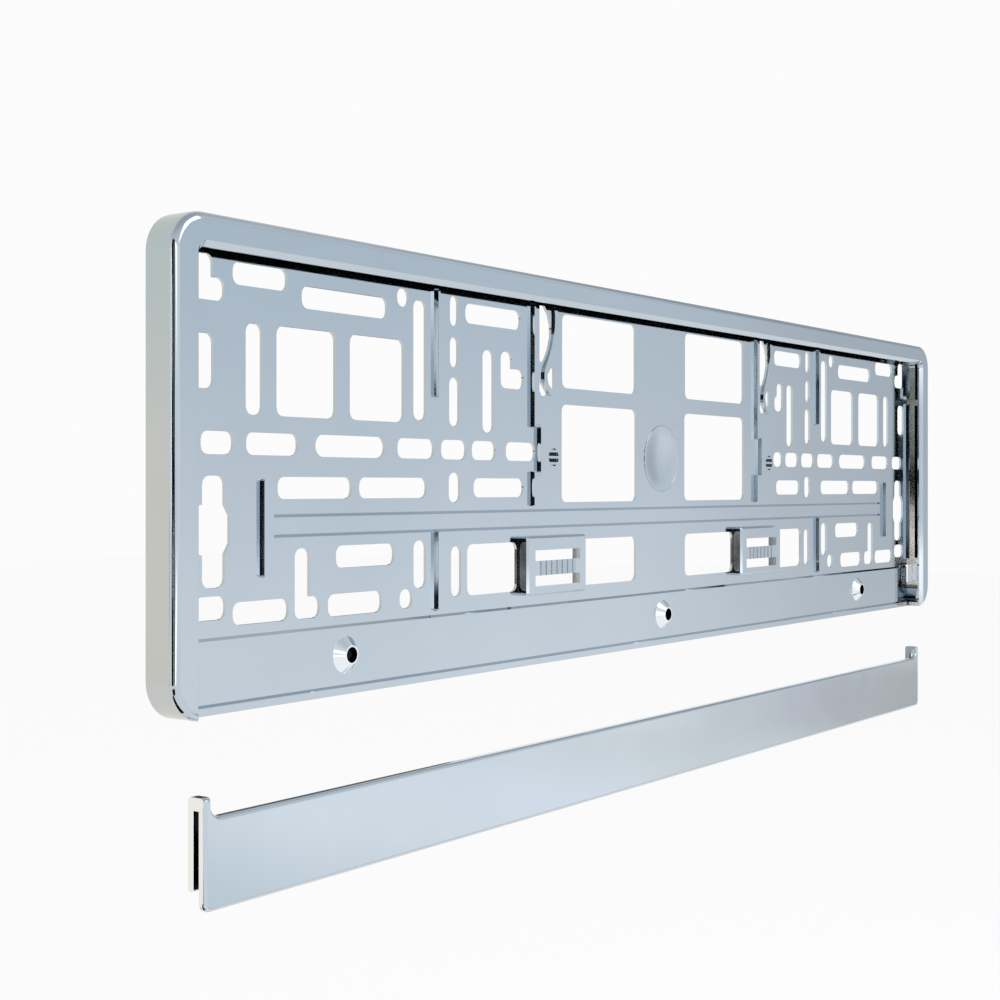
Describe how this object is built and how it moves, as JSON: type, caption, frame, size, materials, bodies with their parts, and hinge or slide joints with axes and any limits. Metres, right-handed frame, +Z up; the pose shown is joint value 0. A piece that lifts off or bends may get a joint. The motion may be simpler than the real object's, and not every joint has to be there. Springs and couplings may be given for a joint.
{
  "type": "number plate holder",
  "caption": "Chrome-plated holder for a long car number plate: a shallow tray with inturned lips and a slotted lattice floor, and a clip-on lower strip shown taken off below it.",
  "frame": {"origin": "centre of the tray's back face, which lies against the car", "axes": "+X along the holder, to the right seen from the front; +Y out of the back face, into the car; +Z up"},
  "size_m": [0.532, 0.011, 0.1869],
  "materials": {
    "plated_base": "bright chrome plating over moulded plastic",
    "plated_strip": "bright chrome plating over moulded plastic"
  },
  "bodies": {
    "tray": {"holder_base": "plated_base"},
    "strip": {"clip_strip": "plated_strip"}
  },
  "joints": [
    {"name": "strip_slide", "type": "slide", "parent": "tray", "child": "strip", "axis": [0, 0, 1], "range_m": [0, 0.0515]}
  ]
}
